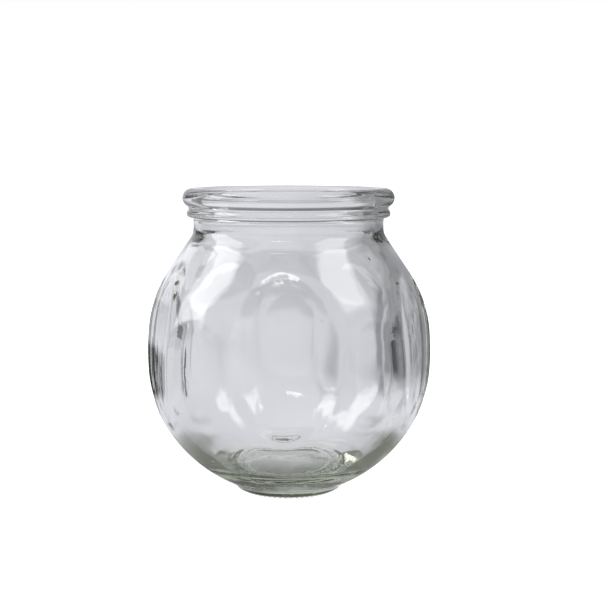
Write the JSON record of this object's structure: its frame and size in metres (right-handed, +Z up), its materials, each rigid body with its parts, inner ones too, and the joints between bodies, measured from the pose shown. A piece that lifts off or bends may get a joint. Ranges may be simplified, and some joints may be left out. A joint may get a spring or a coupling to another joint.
{
  "type": "cupping glass",
  "caption": "Globe-shaped clear glass cup with a round rim bead, a collar bead, a short neck, oval flats around the bowl and a heavy foot, held on the skin by cooling air.",
  "frame": {"origin": "centre of the foot's underside, on the plane that the glass stands on", "axes": "+Z up along the axis of the mouth; -Y towards the middle of a large flat, the one in front in the picture"},
  "size_m": [0.0958, 0.0912, 0.1011],
  "materials": {
    "glass": "fire-polished clear soda-lime glass, faintly grey-green where it is thick"
  },
  "bodies": {
    "root": {"glass_cup": "glass"}
  },
  "joints": []
}
